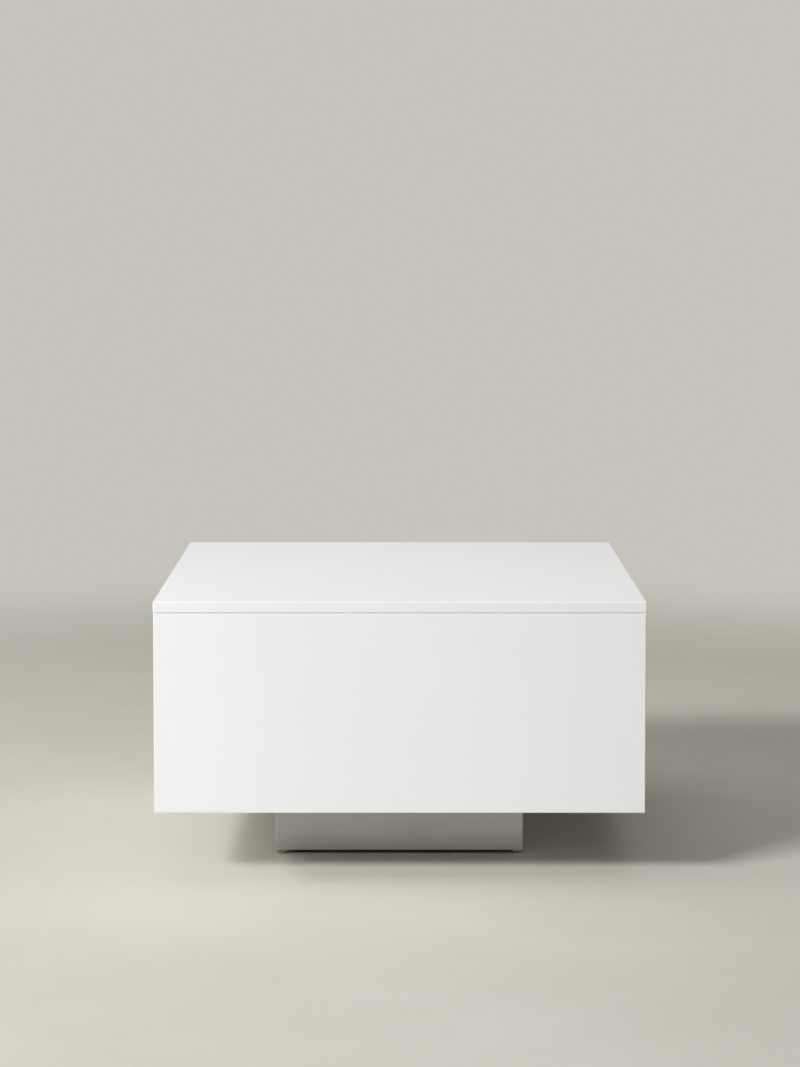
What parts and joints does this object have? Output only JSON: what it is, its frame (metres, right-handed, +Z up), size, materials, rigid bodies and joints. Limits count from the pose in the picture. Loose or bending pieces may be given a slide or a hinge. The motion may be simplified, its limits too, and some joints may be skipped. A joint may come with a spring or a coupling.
{
  "type": "coffee table",
  "caption": "Square white lacquered coffee table with a C-shaped case, open at the rear and both ends, on a set-back brushed steel plinth with levelling feet.",
  "frame": {"origin": "on the floor, under the middle of the table", "axes": "+Z up, front panel towards -Y, open rear towards +Y, +X to the right seen from the front"},
  "size_m": [0.8, 0.8, 0.457],
  "materials": {
    "lacquer": "satin white lacquer on board",
    "plinth_steel": "horizontally brushed stainless steel",
    "frame_paint": "black powder coat",
    "zinc_plate": "bright zinc plate",
    "cap_plastic": "white moulded plastic",
    "beech": "raw beech",
    "plug_nylon": "black nylon",
    "foot_nickel": "satin nickel plate",
    "sole_nylon": "grey nylon"
  },
  "bodies": {
    "table": {"cam_bolts": "zinc_plate", "cam_locks": "zinc_plate", "corner_plates": "frame_paint", "cover_caps": "cap_plastic", "floor_panel": "lacquer", "front_left_post": "frame_paint", "front_panel": "lacquer", "front_right_post": "frame_paint", "front_skirt": "plinth_steel", "left_partition": "lacquer", "lower_front_rail": "frame_paint", "lower_left_rail": "frame_paint", "lower_rear_rail": "frame_paint", "lower_right_rail": "frame_paint", "panel_inserts": "zinc_plate", "plinth_bolts": "zinc_plate", "plinth_washers": "zinc_plate", "rear_left_post": "frame_paint", "rear_right_post": "frame_paint", "rear_skirt": "plinth_steel", "right_partition": "lacquer", "skirt_screws": "zinc_plate", "top_panel": "lacquer", "tube_plugs": "plug_nylon", "upper_front_rail": "frame_paint", "upper_left_rail": "frame_paint", "upper_rear_rail": "frame_paint", "upper_right_rail": "frame_paint", "wood_dowels": "beech"},
    "front_left_sole_body": {"front_left_sole": "sole_nylon"},
    "front_left_foot_body": {"front_left_foot": "foot_nickel"},
    "front_right_sole_body": {"front_right_sole": "sole_nylon"},
    "front_right_foot_body": {"front_right_foot": "foot_nickel"},
    "rear_left_sole_body": {"rear_left_sole": "sole_nylon"},
    "rear_left_foot_body": {"rear_left_foot": "foot_nickel"},
    "rear_right_sole_body": {"rear_right_sole": "sole_nylon"},
    "rear_right_foot_body": {"rear_right_foot": "foot_nickel"}
  },
  "joints": [
    {"name": "front_left_height", "type": "slide", "parent": "table", "child": "front_left_sole_body", "axis": [0, 0, -1], "range_m": [0, 0.01]},
    {"name": "front_left_turn", "type": "hinge", "parent": "front_left_sole_body", "child": "front_left_foot_body", "pos_m": [-0.1988, -0.1988, 0.0016], "axis": [0, 0, -1], "range_deg": [0, 2880]},
    {"name": "front_right_height", "type": "slide", "parent": "table", "child": "front_right_sole_body", "axis": [0, 0, -1], "range_m": [0, 0.01]},
    {"name": "front_right_turn", "type": "hinge", "parent": "front_right_sole_body", "child": "front_right_foot_body", "pos_m": [0.1988, -0.1988, 0.0016], "axis": [0, 0, -1], "range_deg": [0, 2880]},
    {"name": "rear_left_height", "type": "slide", "parent": "table", "child": "rear_left_sole_body", "axis": [0, 0, -1], "range_m": [0, 0.01]},
    {"name": "rear_left_turn", "type": "hinge", "parent": "rear_left_sole_body", "child": "rear_left_foot_body", "pos_m": [-0.1988, 0.1988, 0.0016], "axis": [0, 0, -1], "range_deg": [0, 2880]},
    {"name": "rear_right_height", "type": "slide", "parent": "table", "child": "rear_right_sole_body", "axis": [0, 0, -1], "range_m": [0, 0.01]},
    {"name": "rear_right_turn", "type": "hinge", "parent": "rear_right_sole_body", "child": "rear_right_foot_body", "pos_m": [0.1988, 0.1988, 0.0016], "axis": [0, 0, -1], "range_deg": [0, 2880]}
  ],
  "couplings": [
    {"joint": "front_left_height", "follows": "front_left_turn", "m_per_rad": 0.00019894},
    {"joint": "front_right_height", "follows": "front_right_turn", "m_per_rad": 0.00019894},
    {"joint": "rear_left_height", "follows": "rear_left_turn", "m_per_rad": 0.00019894},
    {"joint": "rear_right_height", "follows": "rear_right_turn", "m_per_rad": 0.00019894}
  ]
}
